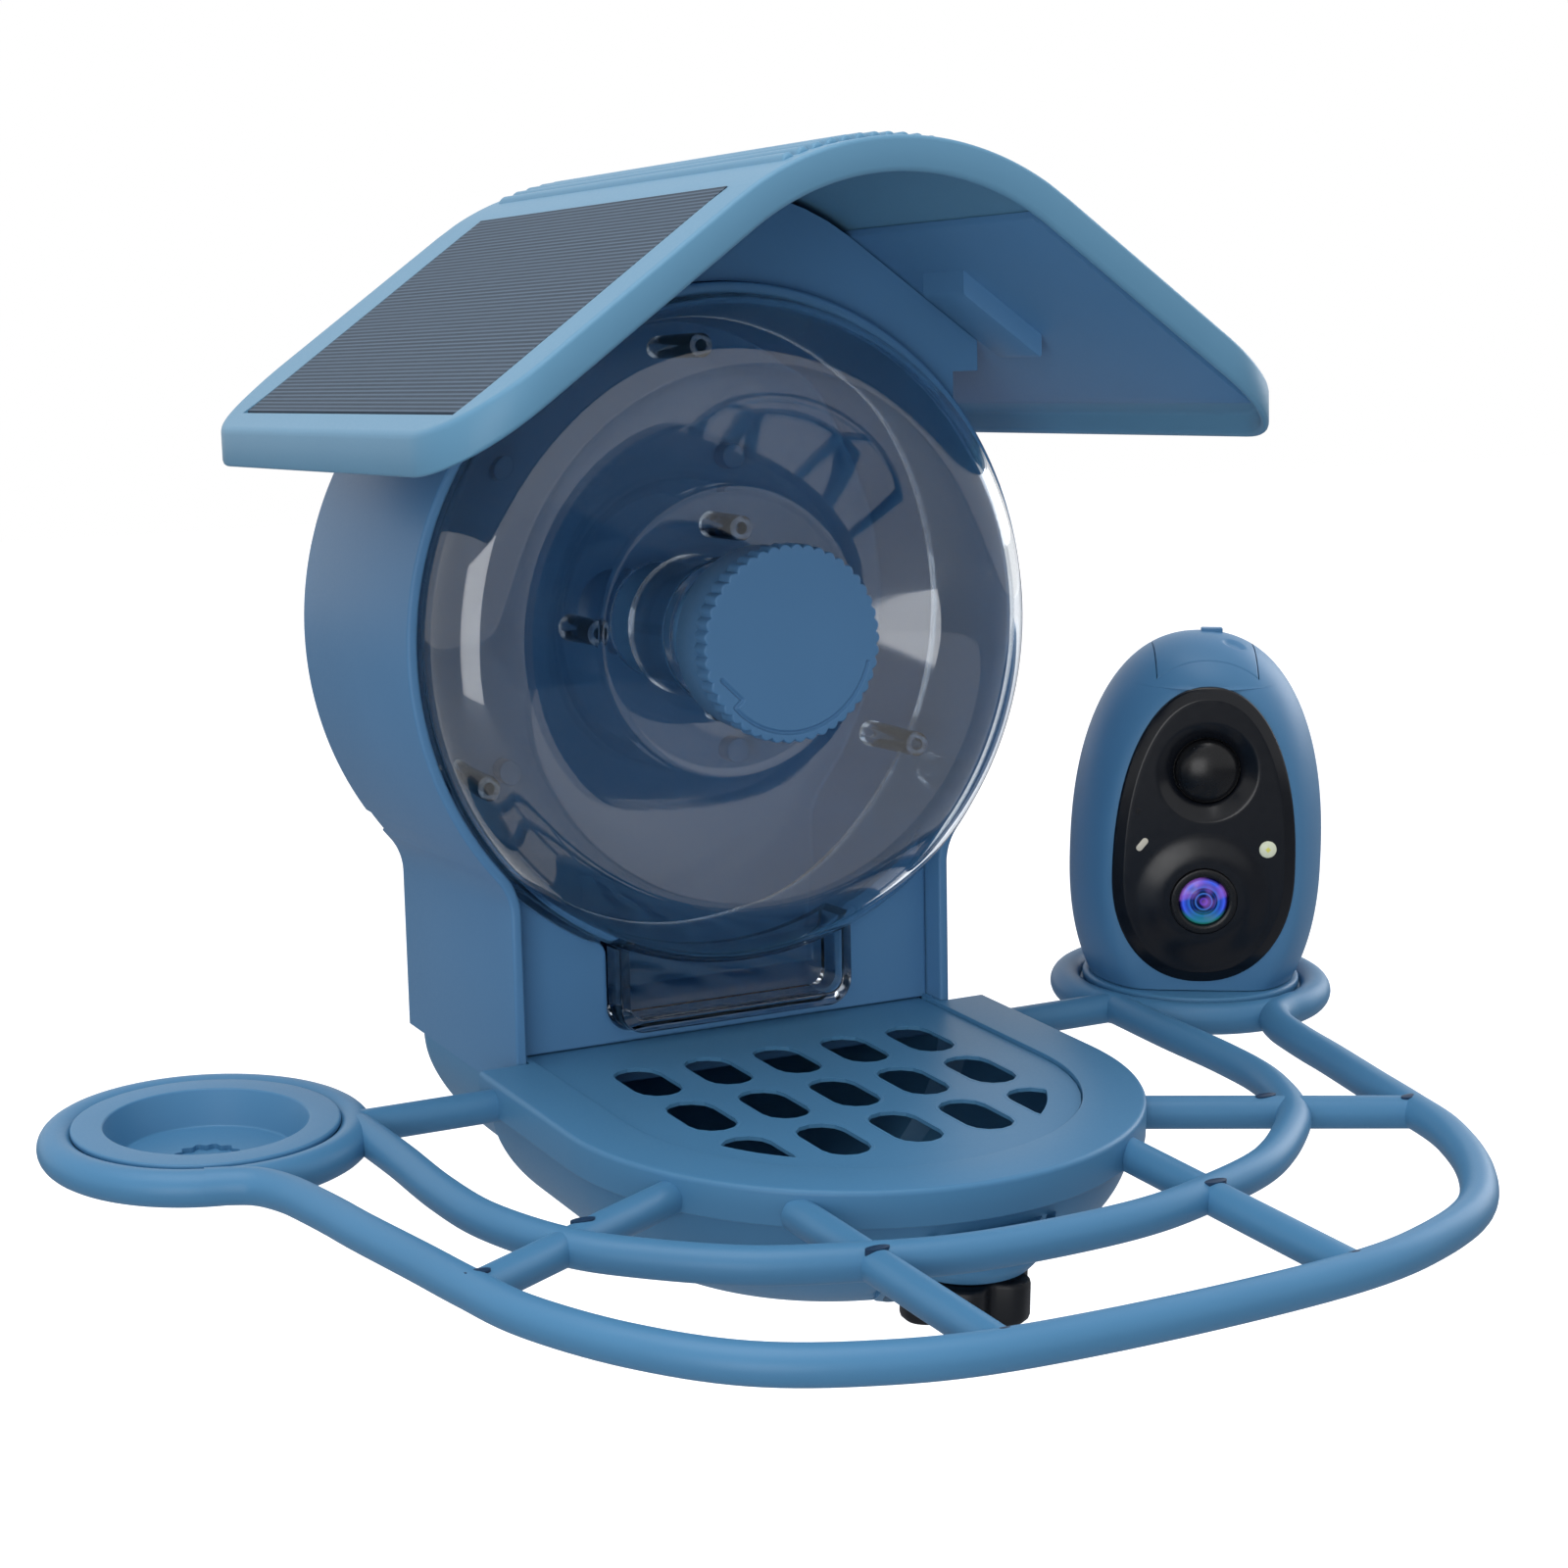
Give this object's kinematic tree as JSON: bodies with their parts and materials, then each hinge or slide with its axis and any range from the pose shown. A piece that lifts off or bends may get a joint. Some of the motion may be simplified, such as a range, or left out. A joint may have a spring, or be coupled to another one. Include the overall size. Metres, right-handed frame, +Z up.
{
  "type": "smart bird feeder",
  "caption": "Wall-hung bird feeder: clear drum hopper under a ridged solar roof, with a slotted tray, looped perch rails, a seed cup and a turning egg-shaped camera.",
  "frame": {"origin": "centre of the mounting plate's back face, on the drum's axis", "axes": "+Y out of the back into the wall, +Z up, the feeder's front faces -Y"},
  "size_m": [0.3732, 0.2901, 0.2819],
  "materials": {
    "battery_wrap": "shrink sleeve, blue",
    "black_plastic": "fine moulded black",
    "black_rubber": "matte black",
    "brass": "turned",
    "clear_smoke_plastic": "clear, polished",
    "coated_glass": "polished, coated",
    "diffuser_white": "milky white",
    "gloss_black_plastic": "polished black",
    "green_board": "lacquered circuit board",
    "satin_blue_plastic": "satin moulded, slate blue",
    "satin_knob_blue": "satin moulded, deeper blue",
    "satin_roof_blue": "satin moulded, lighter blue",
    "solar_cell_glass": "smooth laminate over dark blue cells",
    "zinc_steel": "bright zinc plate"
  },
  "bodies": {
    "feeder": {"drum_housing": "satin_blue_plastic", "rear_mount_plate": "satin_blue_plastic", "plate_screw_1": "zinc_steel", "plate_screw_2": "zinc_steel", "plate_screw_3": "zinc_steel", "plate_screw_4": "zinc_steel", "front_panel": "satin_blue_plastic", "roof_shell": "satin_roof_blue", "solar_panel_left": "solar_cell_glass", "solar_panel_right": "solar_cell_glass", "panel_backing_left": "satin_blue_plastic", "panel_backing_right": "satin_blue_plastic", "roof_saddle": "satin_blue_plastic", "perch_frame": "satin_blue_plastic", "tray_grille": "satin_blue_plastic", "base_bowl": "satin_blue_plastic", "threaded_insert": "brass"},
    "hopper": {"hopper_cover": "clear_smoke_plastic", "hopper_lid": "clear_smoke_plastic", "seed_spout": "clear_smoke_plastic"},
    "knob": {"knob": "satin_knob_blue", "knob_seal": "black_rubber", "lock_spindle": "satin_knob_blue"},
    "cup": {"seed_cup": "satin_blue_plastic"},
    "camera_foot": {"camera_base": "satin_blue_plastic", "camera_base_screw": "zinc_steel"},
    "camera": {"camera_shell": "satin_blue_plastic", "camera_face": "gloss_black_plastic", "face_seal": "black_rubber", "pir_dome": "gloss_black_plastic", "pir_sensor": "zinc_steel", "lens_barrel": "black_plastic", "lens_glass": "coated_glass", "lens_bezel": "gloss_black_plastic", "image_sensor": "black_plastic", "led_lens": "diffuser_white", "status_light": "diffuser_white", "mic_grommet": "black_rubber", "main_board": "green_board", "battery": "battery_wrap", "battery_cradle": "black_plastic", "speaker": "black_plastic", "port_board": "green_board", "usb_port": "zinc_steel", "power_switch": "black_plastic", "reset_switch": "black_plastic"},
    "flap": {"port_flap": "satin_blue_plastic"},
    "power": {"power_button": "black_rubber"},
    "reset": {"reset_button": "black_rubber"},
    "washer": {"thumb_washer": "satin_blue_plastic"},
    "thumb": {"thumb_screw": "black_plastic"}
  },
  "joints": [
    {"name": "hopper_release", "type": "slide", "parent": "feeder", "child": "hopper", "axis": [0, -1, 0], "range_m": [0, 0.07]},
    {"name": "knob_turn", "type": "hinge", "parent": "hopper", "child": "knob", "pos_m": [0, -0.1185, 0], "axis": [0, 1, 0], "range_deg": [0, 90]},
    {"name": "cup_lift", "type": "slide", "parent": "feeder", "child": "cup", "axis": [0, -0.0558, 0.9984], "range_m": [0, 0.03]},
    {"name": "camera_lift", "type": "slide", "parent": "feeder", "child": "camera_foot", "axis": [0, -0.0558, 0.9984], "range_m": [0, 0.03]},
    {"name": "camera_turn", "type": "hinge", "parent": "camera_foot", "child": "camera", "pos_m": [0.1467, -0.08547, -0.108], "axis": [0, -0.0558, 0.9984], "range_deg": [-90, 90]},
    {"name": "flap_open", "type": "hinge", "parent": "camera", "child": "flap", "pos_m": [0.15124, -0.08314, -0.01041], "axis": [-0.8634, 0.5037, 0.0282], "range_deg": [0, 95]},
    {"name": "power_press", "type": "slide", "parent": "camera", "child": "power", "axis": [0, 0.0558, -0.9984], "range_m": [0, 0.0006], "stiffness_N_per_m": 500, "springref_m": -0.0002},
    {"name": "reset_press", "type": "slide", "parent": "camera", "child": "reset", "axis": [0, 0.0558, -0.9984], "range_m": [0, 0.0006], "stiffness_N_per_m": 500, "springref_m": -0.0002},
    {"name": "thumb_travel", "type": "slide", "parent": "feeder", "child": "washer", "axis": [0, 0.0558, -0.9984], "range_m": [0, 0.00382]},
    {"name": "thumb_turn", "type": "hinge", "parent": "washer", "child": "thumb", "pos_m": [0, -0.19601, -0.14262], "axis": [0, 0.0558, -0.9984], "range_deg": [0, 1080]}
  ],
  "couplings": [
    {"joint": "thumb_travel", "follows": "thumb_turn", "m_per_rad": 0.00020213}
  ]
}
